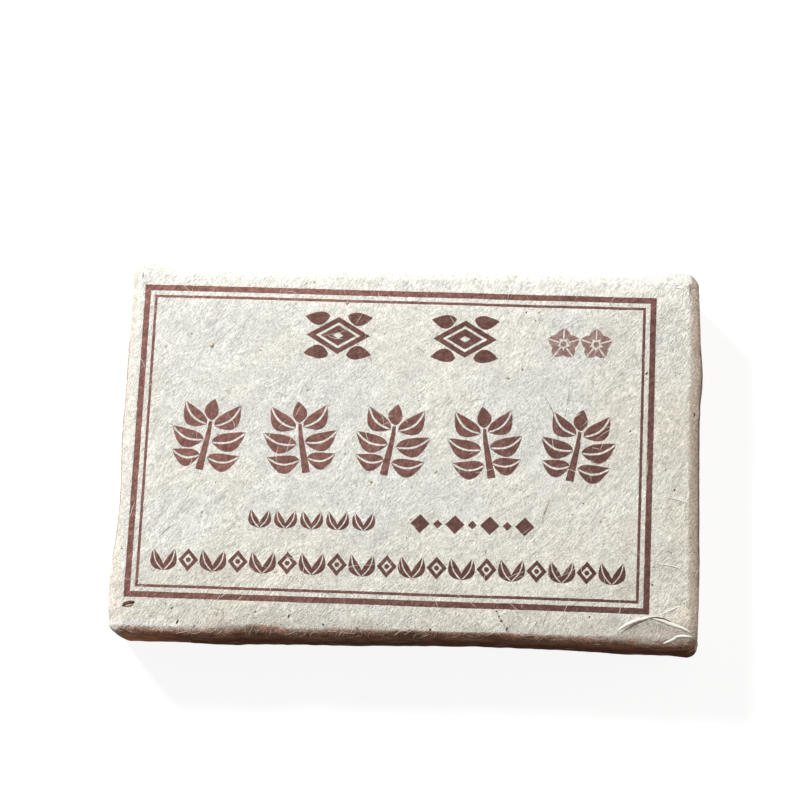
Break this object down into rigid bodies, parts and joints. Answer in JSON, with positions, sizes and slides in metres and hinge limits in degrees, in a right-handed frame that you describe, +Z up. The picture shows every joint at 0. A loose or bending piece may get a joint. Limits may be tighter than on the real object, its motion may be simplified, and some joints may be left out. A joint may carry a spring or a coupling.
{
  "type": "pu erh tea brick",
  "caption": "Flat oblong brick of pressed tea, shut in a plain paper wrapper folded over at both ends, lying on its underside.",
  "frame": {"origin": "centre of the outline at the level the brick rests on", "axes": "+X along the length, +Y to the back, +Z up through the printed face"},
  "size_m": [0.1424, 0.0934, 0.0202],
  "materials": {
    "paper": "matt handmade fibre paper",
    "ink": "matt brown print on the paper"
  },
  "bodies": {
    "root": {"wrapped_tea_brick": "paper"}
  },
  "joints": []
}
